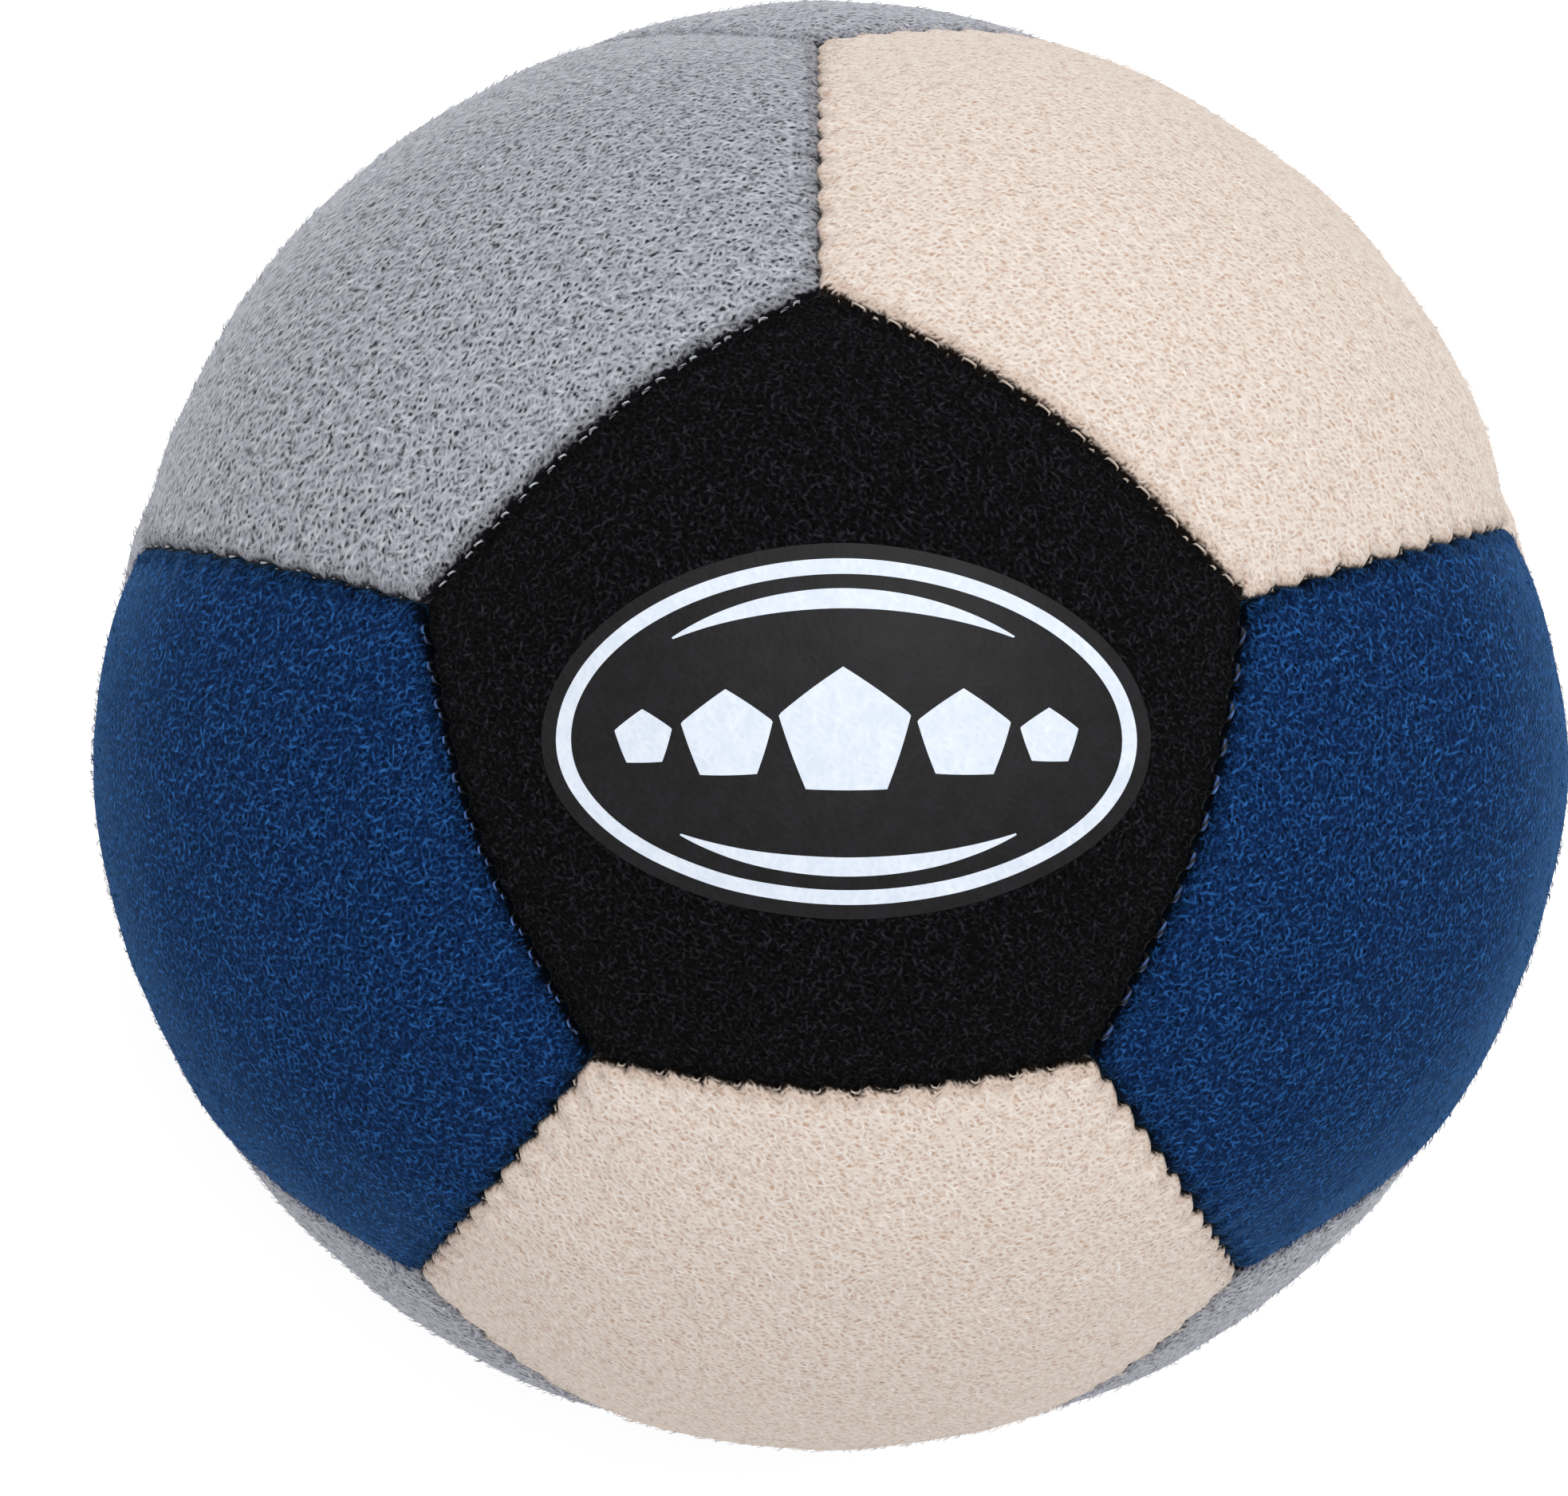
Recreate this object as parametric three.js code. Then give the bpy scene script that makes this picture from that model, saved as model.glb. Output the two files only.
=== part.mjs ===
// A twelve-panel suede footbag, 57 mm across, lying on its back panel with its badge panel up.
// Millimetres, +Z up. The origin is the middle of the flat that the bag has settled on.
//
// Twelve five-sided panels of synthetic suede are sewn face to face and turned. At each seam both panels
// roll over into the slit and run on inside as a seam allowance, and a thread laces the two lips together.
// The panels meet three at a corner. Inside is the mass of plastic pellets that gives the bag its weight.

import * as THREE from 'three';
import { mergeVertices } from 'three/addons/utils/BufferGeometryUtils.js';

// The ball
const SEAM_RADIUS = 28.35;        // the ball's centre to the lips, half way along a seam
const CROWN_RISE = 0.6;           // the middle of a panel stands this much further out
const CORNER_SINK = 0.55;         // the lips lie this much deeper where three panels meet
const RIGHT_BULGE = 0.6;          // the pellets push the right side panel out by this much
const LEFT_BULGE = 0.45;          // the left one by this much
const SHOULDER_BULGE = 0.3;       // and the skin above the right one's upper corner by this much
const REST_FLAT_WIDTH = 18;       // the flat that the bag settles on

// The panels
const SUEDE_THICKNESS = 1.0;
const LIP_RADIUS = 0.7;           // the roll of a panel's edge into the slit
const SEAM_GAP = 0.3;             // between the facing skins of two panels, inside the slit
const SEAM_ALLOWANCE = 2.5;       // from the top of the lip to the cut edge inside
const ALLOWANCE_FILLET = 0.5;     // inside, where the skin turns into the allowance
const CORNER_ROUNDING = 1.6;      // on the lips: how far from a corner an edge starts to turn
const ALLOWANCE_ROUNDING = 0.5;   // the same on the allowances, which fill the corner inside

// The thread
const THREAD_DIAMETER = 0.32;
const THREAD_CLEARANCE = 0.1;     // to the lips on both sides
const STITCH_RISE = 0.16;         // from where a stitch seats in the slit to its top
const STITCH_SWAY = 0.05;         // a stitch crosses the slit from this far on one side to the other
const THREAD_CORNER_GAP = 0.75;   // the last stitch ends this far from the corner
const STITCHES_PER_SEAM = 12;
const THREAD_SIDES = 4;

// The filling
const FILLING_CLEARANCE = 0.3;    // to the skins and the allowances
const FILLING_SHOULDER = 0.8;     // how far the pellets slope in beside an allowance

// How a panel's height falls from its middle to its seam
const CROWN_POWER = 3;

// Where the pellets push the skin out, with the angles from there at which a bulge starts to fall and is gone
const BULGES = [
  { polar: 84, azimuth: -12, height: RIGHT_BULGE, fullAngle: 10, endAngle: 42 },
  { polar: 84, azimuth: 192, height: LEFT_BULGE, fullAngle: 10, endAngle: 42 },
  { polar: 84, azimuth: 26, height: SHOULDER_BULGE, fullAngle: 3, endAngle: 15 },
];

// Rings of points on a panel's outer skin, on its inner skin and on the filling under it: how many points,
// and at what share of the way from the middle to the lip
const OUTER_RING_POINTS = [5, 10, 20, 40];
const OUTER_RING_SHARES = [0.17, 0.4, 0.65, 0.87];
const INNER_RING_POINTS = [5, 10, 20];
const INNER_RING_SHARES = [0.17, 0.4, 0.7];
const LIP_POINTS = OUTER_RING_POINTS.at(-1);
const INSIDE_POINTS = INNER_RING_POINTS.at(-1);
const LIP_TURNS = [0, 30, 60, 90];
const FLAT_CAP_SHARE = 0.8;       // the flat's innermost ring, as a share of the flat's own half width

// Five-fold geometry: the angle between neighbouring panels and between the two ends of a side. The tilts are
// in degrees from +Z: of the panels beside the badge panel, of the badge panel's corners and of the next
// corners out.
const FACE_ANGLE = Math.acos(1 / Math.sqrt(5));
const SIDE_ANGLE = Math.acos(Math.sqrt(5) / 3);
const SIDE_TURN = 2 * Math.PI / 5;
const FACE_TILT = THREE.MathUtils.radToDeg(FACE_ANGLE);
const BADGE_CORNER_TILT = THREE.MathUtils.radToDeg(Math.acos(Math.sqrt((5 + 2 * Math.sqrt(5)) / 15)));
const OUTER_CORNER_TILT = BADGE_CORNER_TILT + THREE.MathUtils.radToDeg(SIDE_ANGLE);

const SUEDE = {
  black: { color: 0x1a1a1d, roughness: 0.95 },
  blue: { color: 0x1b3d70, roughness: 0.9 },
  gray: { color: 0xa0a1aa, roughness: 0.9 },
  cream: { color: 0xe6d6ca, roughness: 0.9 },
};
const THREAD = {
  blue: { color: 0x4e78bd, roughness: 0.6 },
  gray: { color: 0xb9bcc4, roughness: 0.6 },
  cream: { color: 0xe9dccb, roughness: 0.6 },
};
const PELLETS = { color: 0xd8d6cf, roughness: 0.5 };

// The panels as they lie round the badge panel, with each panel's angle from +Z and its azimuth
const PANELS = [
  { name: 'badge', suede: 'black', polar: 0, azimuth: 0 },
  { name: 'lower', suede: 'cream', polar: FACE_TILT, azimuth: 270 },
  { name: 'right', suede: 'blue', polar: FACE_TILT, azimuth: 342 },
  { name: 'upper_right', suede: 'cream', polar: FACE_TILT, azimuth: 54 },
  { name: 'upper_left', suede: 'gray', polar: FACE_TILT, azimuth: 126 },
  { name: 'left', suede: 'blue', polar: FACE_TILT, azimuth: 198 },
  { name: 'rear_upper', suede: 'gray', polar: 180 - FACE_TILT, azimuth: 90 },
  { name: 'rear_left', suede: 'gray', polar: 180 - FACE_TILT, azimuth: 162 },
  { name: 'rear_lower_left', suede: 'gray', polar: 180 - FACE_TILT, azimuth: 234 },
  { name: 'rear_lower_right', suede: 'gray', polar: 180 - FACE_TILT, azimuth: 306 },
  { name: 'rear_right', suede: 'cream', polar: 180 - FACE_TILT, azimuth: 18 },
  { name: 'rest', suede: 'blue', polar: 180, azimuth: 0 },
];

// Hand-sewn panels settle a little out of true. Each row gives a corner of the regular pattern, by its tilt
// and its azimuth, and then the tilt and the azimuth at which it lies in the bag.
const SETTLED_CORNERS = [
  [BADGE_CORNER_TILT, 90, 37.6, 91.8],
  [BADGE_CORNER_TILT, 18, 37.4, 16.7],
  [BADGE_CORNER_TILT, 306, 36.7, 307.5],
  [BADGE_CORNER_TILT, 234, 35.7, 234.3],
  [BADGE_CORNER_TILT, 162, 37.1, 163.8],
  [OUTER_CORNER_TILT, 90, 76.5, 90.9],
  [OUTER_CORNER_TILT, 18, 88, 16.5],
  [OUTER_CORNER_TILT, 306, 76.8, 306.7],
  [OUTER_CORNER_TILT, 234, 77.2, 233.3],
  [OUTER_CORNER_TILT, 162, 89.2, 165.2],
];

function direction(polarDegrees, azimuthDegrees) {
  const polar = THREE.MathUtils.degToRad(polarDegrees);
  const azimuth = THREE.MathUtils.degToRad(azimuthDegrees);
  const level = Math.sin(polar);
  return new THREE.Vector3(level * Math.cos(azimuth), level * Math.sin(azimuth), Math.cos(polar));
}

function isNeighbour(a, b) {
  return Math.abs(a.middle.angleTo(b.middle) - FACE_ANGLE) < FACE_ANGLE / 10;
}

// Each panel gets its middle, its five neighbours, and a right-handed frame whose first axis points from the
// middle to the side shared with the first neighbour.
function layOutPanels() {
  for (const panel of PANELS) {
    panel.middle = direction(panel.polar, panel.azimuth);
  }
  for (const panel of PANELS) {
    panel.neighbours = PANELS.filter((other) => isNeighbour(panel, other));
    const towards = panel.neighbours[0].middle.clone();
    panel.across = towards.addScaledVector(panel.middle, -towards.dot(panel.middle)).normalize();
    panel.along = panel.middle.clone().cross(panel.across);
    panel.sidePlanes = panel.neighbours.map((other) => panel.middle.clone().sub(other.middle).normalize());
  }
}

const CORNER_SHIFTS = SETTLED_CORNERS.map(([polar, azimuth, settledPolar, settledAzimuth]) => {
  const regular = direction(polar, azimuth);
  return { regular, shift: direction(settledPolar, settledAzimuth).sub(regular) };
});

// Moves a place on the regular pattern to where it lies in the bag, as far from the ball's centre as before.
// A shifted corner draws along what lies within one side's length of it.
function settled(place) {
  const towards = place.clone().normalize();
  const moved = towards.clone();
  for (const { regular, shift } of CORNER_SHIFTS) {
    moved.addScaledVector(shift, 1 - THREE.MathUtils.smoothstep(towards.angleTo(regular), 0, SIDE_ANGLE));
  }
  return moved.setLength(place.length());
}

// How far the pellets push the skin out at a place on the regular pattern
function pushOut(place) {
  const towards = settled(place);
  return Math.max(...BULGES.map((bulge) => {
    const angle = THREE.MathUtils.radToDeg(direction(bulge.polar, bulge.azimuth).angleTo(towards));
    return bulge.height * (1 - THREE.MathUtils.smoothstep(angle, bulge.fullAngle, bulge.endAngle));
  }));
}

function directionOnPanel(panel, angle, azimuth) {
  return panel.middle.clone().multiplyScalar(Math.cos(angle))
    .addScaledVector(panel.across, Math.sin(angle) * Math.cos(azimuth))
    .addScaledVector(panel.along, Math.sin(angle) * Math.sin(azimuth));
}

// The distance from a point to the panel's nearest seam plane, with the corners rounded off
function distanceToSeams(panel, point, rounding) {
  const [nearest, next] = panel.sidePlanes.map((plane) => plane.dot(point)).sort((a, b) => a - b);
  const blend = rounding > 0 ? Math.max(0, 1 - (next - nearest) / rounding) : 0;
  return nearest - blend * blend * rounding / 4;
}

// The angle from the panel's middle at which a point on a sphere lies a given distance inside the seams. The
// range is halved until there is no number left in between.
function angleAtSeamDistance(panel, radius, distance, azimuth, rounding) {
  let inside = 0;
  let outside = FACE_ANGLE;
  let middle = outside / 2;
  while (middle > inside && middle < outside) {
    const point = directionOnPanel(panel, middle, azimuth).multiplyScalar(radius);
    if (distanceToSeams(panel, point, rounding) > distance) {
      inside = middle;
    } else {
      outside = middle;
    }
    middle = (inside + outside) / 2;
  }
  return inside;
}

// Nought half way along a side, one at a corner
function cornerShare(azimuth) {
  return (1 - Math.cos(2 * Math.PI * azimuth / SIDE_TURN)) / 2;
}

// The radius of the lips' top where the seam lies in this direction from the panel's middle
function lipRadiusAt(panel, azimuth) {
  const angle = angleAtSeamDistance(panel, SEAM_RADIUS, 0, azimuth, 0);
  return SEAM_RADIUS - CORNER_SINK * cornerShare(azimuth) + pushOut(directionOnPanel(panel, angle, azimuth));
}

// The angle from the panel's middle to the top of the lip
function lipAngleAt(panel, azimuth) {
  const radius = lipRadiusAt(panel, azimuth);
  return angleAtSeamDistance(panel, radius, SEAM_GAP / 2 + LIP_RADIUS, azimuth, CORNER_ROUNDING);
}

// The crowned skin's radius, before the settled flat is cut
function crownRadius(panel, angle, azimuth) {
  const share = angle / lipAngleAt(panel, azimuth);
  const fall = (CROWN_RISE + CORNER_SINK * cornerShare(azimuth)) * share ** CROWN_POWER;
  return SEAM_RADIUS + CROWN_RISE - fall + pushOut(directionOnPanel(panel, angle, azimuth));
}

layOutPanels();

// The flat is cut where the skin, towards a corner, is half its width from the middle of the rest panel
const REST_PANEL = PANELS.at(-1);
const REST_ANGLE = Math.asin(REST_FLAT_WIDTH / 2 / (SEAM_RADIUS + CROWN_RISE));
const REST_DEPTH = crownRadius(REST_PANEL, REST_ANGLE, SIDE_TURN / 2) * Math.cos(REST_ANGLE);

// A point of the crowned skin, or of a surface at a depth under it. On the rest panel it stops at the flat
function skinPoint(panel, angle, azimuth, depth) {
  let radius = crownRadius(panel, angle, azimuth) - depth;
  if (panel === REST_PANEL) {
    radius = Math.min(radius, (REST_DEPTH - depth) / Math.cos(angle));
  }
  return directionOnPanel(panel, angle, azimuth).multiplyScalar(radius);
}

// A point at a depth under the top of the lips, a given distance inside the seams
function edgePoint(panel, azimuth, distance, depth, rounding) {
  const radius = lipRadiusAt(panel, azimuth) - depth;
  const angle = angleAtSeamDistance(panel, radius, distance, azimuth, rounding);
  return directionOnPanel(panel, angle, azimuth).multiplyScalar(radius);
}

function ring(points, pointAt) {
  return Array.from({ length: points }, (_, i) => pointAt(2 * Math.PI * i / points));
}

// Rings of the skin from its middle outwards. The rest panel has one ring on its flat and one round it.
function skinRings(panel, points, shares, depth) {
  return shares.map((share, i) => {
    let angleAt = (azimuth) => share * lipAngleAt(panel, azimuth);
    if (panel === REST_PANEL && i < 2) {
      angleAt = () => (i === 0 ? FLAT_CAP_SHARE * REST_ANGLE : REST_ANGLE);
    }
    return ring(points[i], (azimuth) => skinPoint(panel, angleAt(azimuth), azimuth, depth));
  });
}

// Joins two rings that start at the same azimuth. The second ring is the outer one, seen from its outer side.
function joinRings(triangles, inner, outer) {
  let i = 0;
  let j = 0;
  while (i < inner.length || j < outer.length) {
    const a = inner[i % inner.length];
    const b = outer[j % outer.length];
    if ((j + 1) / outer.length <= (i + 1) / inner.length) {
      triangles.push([a, b, outer[(j + 1) % outer.length]]);
      j += 1;
    } else {
      triangles.push([a, b, inner[(i + 1) % inner.length]]);
      i += 1;
    }
  }
}

function capRing(triangles, points, facingOut) {
  for (let i = 1; i < points.length - 1; i += 1) {
    triangles.push(facingOut ? [points[0], points[i], points[i + 1]] : [points[0], points[i + 1], points[i]]);
  }
}

function joinAll(triangles, rings) {
  for (let i = 0; i < rings.length - 1; i += 1) {
    joinRings(triangles, rings[i], rings[i + 1]);
  }
}

function closedGeometry(triangles) {
  const positions = triangles.flat().map(settled).flatMap((point) => [point.x, point.y, point.z]);
  const geometry = new THREE.BufferGeometry();
  geometry.setAttribute('position', new THREE.Float32BufferAttribute(positions, 3));
  const merged = mergeVertices(geometry);
  merged.computeVertexNormals();
  return merged;
}

function allowanceRing(panel, points, distance, depth) {
  return ring(points, (azimuth) => edgePoint(panel, azimuth, distance, depth, ALLOWANCE_ROUNDING));
}

// A panel of suede: its crowned outer skin, the lip that rolls into the slit, the seam allowance that runs on
// inside, and the inner skin
function panelGeometry(panel) {
  const outer = skinRings(panel, OUTER_RING_POINTS, OUTER_RING_SHARES, 0);
  const lip = LIP_TURNS.map((degrees) => {
    const turn = THREE.MathUtils.degToRad(degrees);
    const distance = SEAM_GAP / 2 + LIP_RADIUS * (1 - Math.sin(turn));
    const depth = LIP_RADIUS * (1 - Math.cos(turn));
    const rounding = THREE.MathUtils.lerp(CORNER_ROUNDING, ALLOWANCE_ROUNDING, Math.sin(turn));
    return ring(LIP_POINTS, (azimuth) => edgePoint(panel, azimuth, distance, depth, rounding));
  });
  const inward = SEAM_GAP / 2 + SUEDE_THICKNESS;
  const allowance = [
    allowanceRing(panel, LIP_POINTS, SEAM_GAP / 2, SEAM_ALLOWANCE),
    allowanceRing(panel, INSIDE_POINTS, inward, SEAM_ALLOWANCE),
    allowanceRing(panel, INSIDE_POINTS, inward, SUEDE_THICKNESS + ALLOWANCE_FILLET),
    allowanceRing(panel, INSIDE_POINTS, inward + ALLOWANCE_FILLET, SUEDE_THICKNESS),
  ];
  const inner = skinRings(panel, INNER_RING_POINTS, INNER_RING_SHARES, SUEDE_THICKNESS).reverse();

  const triangles = [];
  capRing(triangles, outer[0], true);
  joinAll(triangles, [...outer, ...lip, ...allowance, ...inner]);
  capRing(triangles, inner.at(-1), false);
  return closedGeometry(triangles);
}

// The pellets under all twelve panels: a cushion under each, with a groove between them for the allowances
function fillingGeometry() {
  const skinDepth = SUEDE_THICKNESS + FILLING_CLEARANCE;
  const grooveDepth = SEAM_ALLOWANCE + FILLING_CLEARANCE;
  const inward = SEAM_GAP / 2 + SUEDE_THICKNESS + FILLING_CLEARANCE;
  const triangles = [];
  for (const panel of PANELS) {
    const cushion = skinRings(panel, INNER_RING_POINTS, INNER_RING_SHARES, skinDepth);
    const groove = [
      allowanceRing(panel, INSIDE_POINTS, inward + FILLING_SHOULDER, skinDepth),
      allowanceRing(panel, INSIDE_POINTS, inward, grooveDepth),
      ring(INSIDE_POINTS, (azimuth) => edgePoint(panel, azimuth, 0, grooveDepth, 0)),
    ];
    capRing(triangles, cushion[0], true);
    joinAll(triangles, [...cushion, ...groove]);
  }
  return closedGeometry(triangles);
}

// How deep under the lips' top a thread seats in the slit when it lies this far off the seam plane
function threadSeatDepth(sway) {
  const reach = LIP_RADIUS + THREAD_DIAMETER / 2 + THREAD_CLEARANCE;
  const offset = SEAM_GAP / 2 + LIP_RADIUS - sway;
  return LIP_RADIUS - Math.sqrt(Math.max(0, reach ** 2 - offset ** 2));
}

// The azimuth of a direction, seen from a panel's middle
function azimuthOnPanel(panel, towards) {
  return Math.atan2(towards.dot(panel.along), towards.dot(panel.across));
}

// A thread laces one seam from corner to corner. It seats in the slit between two stitches, off to one side
// and then the other, and rises over it in each stitch.
function threadGeometry(panel, neighbour) {
  const [first, last] = PANELS.filter((other) => isNeighbour(other, panel) && isNeighbour(other, neighbour));
  const corners = [first, last].map((third) => (
    panel.middle.clone().add(neighbour.middle).add(third.middle).normalize()
  ));
  const plane = panel.middle.clone().sub(neighbour.middle).normalize();
  const span = corners[0].angleTo(corners[1]);
  const endAngle = THREAD_CORNER_GAP / (SEAM_RADIUS - CORNER_SINK);
  const axis = corners[0].clone().cross(corners[1]).normalize();
  const steps = STITCHES_PER_SEAM * 2;
  const rings = [];
  for (let i = 0; i <= steps; i += 1) {
    const turn = THREE.MathUtils.lerp(endAngle, span - endAngle, i / steps);
    const towards = corners[0].clone().applyAxisAngle(axis, turn);
    const top = lipRadiusAt(panel, azimuthOnPanel(panel, towards));
    const isDip = i % 2 === 0;
    const sway = isDip ? STITCH_SWAY * (i % 4 === 0 ? 1 : -1) : 0;
    const depth = threadSeatDepth(STITCH_SWAY) - (isDip ? 0 : STITCH_RISE);
    const centre = towards.clone().multiplyScalar(top - depth).addScaledVector(plane, sway);
    rings.push(ring(THREAD_SIDES, (angle) => (
      centre.clone()
        .addScaledVector(plane, Math.cos(angle) * THREAD_DIAMETER / 2)
        .addScaledVector(towards, Math.sin(angle) * THREAD_DIAMETER / 2)
    )));
  }
  const triangles = [];
  const facesAlong = plane.clone().cross(corners[0]).dot(axis.clone().cross(corners[0])) > 0;
  const ordered = facesAlong ? rings.reverse() : rings;
  capRing(triangles, ordered[0], true);
  joinAll(triangles, ordered);
  capRing(triangles, ordered.at(-1), false);
  return closedGeometry(triangles);
}

// Cream thread beside cream suede, and otherwise blue beside blue and gray beside gray
function threadColour(panel, neighbour) {
  const suedes = [panel.suede, neighbour.suede];
  return ['cream', 'blue', 'gray'].find((colour) => suedes.includes(colour));
}

function addPiece(group, name, geometry, finish) {
  const material = new THREE.MeshStandardMaterial({ ...finish, metalness: 0 });
  const mesh = new THREE.Mesh(geometry, material);
  mesh.name = name;
  group.add(mesh);
}

function buildFootbag() {
  const bag = new THREE.Group();
  bag.name = 'footbag';
  bag.position.z = REST_DEPTH;
  addPiece(bag, 'pellet_filling', fillingGeometry(), PELLETS);
  for (const panel of PANELS) {
    addPiece(bag, `panel_${panel.name}_${panel.suede}`, panelGeometry(panel), SUEDE[panel.suede]);
  }
  PANELS.forEach((panel, i) => {
    for (const other of PANELS.slice(i + 1).filter((later) => isNeighbour(panel, later))) {
      const finish = THREAD[threadColour(panel, other)];
      addPiece(bag, `thread_${panel.name}_to_${other.name}`, threadGeometry(panel, other), finish);
    }
  });
  return bag;
}

export default buildFootbag();
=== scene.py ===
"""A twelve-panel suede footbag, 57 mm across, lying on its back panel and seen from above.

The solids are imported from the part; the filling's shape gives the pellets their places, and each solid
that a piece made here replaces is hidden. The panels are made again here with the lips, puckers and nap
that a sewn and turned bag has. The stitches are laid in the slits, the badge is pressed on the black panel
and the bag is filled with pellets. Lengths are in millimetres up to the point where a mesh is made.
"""

import math

import bpy
import numpy as np
from mathutils import Matrix, Vector
from mathutils.bvhtree import BVHTree


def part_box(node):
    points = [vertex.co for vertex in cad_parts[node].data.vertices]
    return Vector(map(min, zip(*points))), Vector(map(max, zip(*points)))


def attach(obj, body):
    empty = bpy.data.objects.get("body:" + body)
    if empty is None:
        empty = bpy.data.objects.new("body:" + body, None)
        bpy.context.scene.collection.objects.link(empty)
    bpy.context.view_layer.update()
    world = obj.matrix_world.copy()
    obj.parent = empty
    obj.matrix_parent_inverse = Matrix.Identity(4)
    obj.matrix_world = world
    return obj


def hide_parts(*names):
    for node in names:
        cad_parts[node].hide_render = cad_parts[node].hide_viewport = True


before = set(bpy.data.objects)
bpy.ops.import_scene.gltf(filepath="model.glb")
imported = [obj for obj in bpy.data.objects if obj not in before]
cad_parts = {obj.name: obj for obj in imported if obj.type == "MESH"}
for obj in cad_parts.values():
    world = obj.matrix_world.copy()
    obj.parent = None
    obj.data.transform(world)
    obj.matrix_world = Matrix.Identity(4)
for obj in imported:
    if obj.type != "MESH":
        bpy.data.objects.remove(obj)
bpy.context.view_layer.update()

MM = 0.001
TURN = 2 * math.pi

# The ball, as in the part
SEAM_RADIUS = 28.35
CROWN_RISE = 0.6
CORNER_SINK = 0.55
REST_FLAT_WIDTH = 18.0
SUEDE_THICKNESS = 1.0
SEAM_ALLOWANCE = 2.5
CROWN_POWER = 3
NEIGHBOUR_SLACK = 0.1
PART_LIP_WIDTH = 0.85
PART_CORNER_ROUNDING = 1.6

# Where the pellets push the skin out: the angle from +Z and the azimuth, how far, and the angles from there
# at which the bulge starts to fall and is gone
BULGES = (
    (84, -12, 0.6, 10, 42),
    (84, 192, 0.45, 10, 42),
    (84, 26, 0.3, 3, 15),
)

# Five-fold geometry. The tilts are in degrees from +Z: of the panels beside the badge panel, of the badge
# panel's corners and of the next corners out.
FACE_ANGLE = math.acos(1 / math.sqrt(5))
SIDE_TURN = TURN / 5
EDGE_HALF_ARC = math.acos(math.sqrt(5) / 3) / 2
MIDSIDE_ANGLE = FACE_ANGLE / 2
FACE_TILT = math.degrees(FACE_ANGLE)
BADGE_CORNER_TILT = math.degrees(math.acos(math.sqrt((5 + 2 * math.sqrt(5)) / 15)))
OUTER_CORNER_TILT = BADGE_CORNER_TILT + math.degrees(2 * EDGE_HALF_ARC)

# Hand-sewn panels settle a little out of true. For each corner: its tilt and azimuth in the regular pattern,
# and in the bag.
SETTLED_CORNERS = (
    (BADGE_CORNER_TILT, 90, 37.6, 91.8),
    (BADGE_CORNER_TILT, 18, 37.4, 16.7),
    (BADGE_CORNER_TILT, 306, 36.7, 307.5),
    (BADGE_CORNER_TILT, 234, 35.7, 234.3),
    (BADGE_CORNER_TILT, 162, 37.1, 163.8),
    (OUTER_CORNER_TILT, 90, 76.5, 90.9),
    (OUTER_CORNER_TILT, 18, 88.0, 16.5),
    (OUTER_CORNER_TILT, 306, 76.8, 306.7),
    (OUTER_CORNER_TILT, 234, 77.2, 233.3),
    (OUTER_CORNER_TILT, 162, 89.2, 165.2),
)

# The seams, with the slit drawn nearly shut
SEAM_GAP = 0.08
LIP_RADIUS = 0.5
CORNER_ROUNDING = 0.7
ALLOWANCE_ROUNDING = 0.4
STITCH_PITCH = 1.62
STITCHES_PER_SEAM = 12
STEPS_PER_STITCH = 8
STEPS_PER_SIDE = STITCHES_PER_SEAM * STEPS_PER_STITCH
HALVINGS = 42

# Each panel takes its nap from a place in the pattern this far from the last one's
PATTERN_STEP = 50.0

# Name, suede, angle from +Z, azimuth, and the way the nap is combed, in degrees on the panel
PANELS = [
    ("badge", "black", 0, 0, 20),
    ("lower", "cream", FACE_TILT, 270, 60),
    ("right", "blue", FACE_TILT, 342, 75),
    ("upper_right", "cream", FACE_TILT, 54, 110),
    ("upper_left", "gray", FACE_TILT, 126, 84),
    ("left", "blue", FACE_TILT, 198, 30),
    ("rear_upper", "gray", 180 - FACE_TILT, 90, 70),
    ("rear_left", "gray", 180 - FACE_TILT, 162, 20),
    ("rear_lower_left", "gray", 180 - FACE_TILT, 234, 130),
    ("rear_lower_right", "gray", 180 - FACE_TILT, 306, 45),
    ("rear_right", "cream", 180 - FACE_TILT, 18, 95),
    ("rest", "blue", 180, 0, 150),
]


# Shape of the bag

def unit(vector):
    return vector / np.linalg.norm(vector, axis=-1, keepdims=True)


def sphere_direction(polar, azimuth):
    """Unit vector from an angle from +Z and an azimuth, both in degrees."""
    polar = math.radians(polar)
    azimuth = math.radians(azimuth)
    sideways = math.sin(polar)
    return np.array([sideways * math.cos(azimuth), sideways * math.sin(azimuth), math.cos(polar)])


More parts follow.
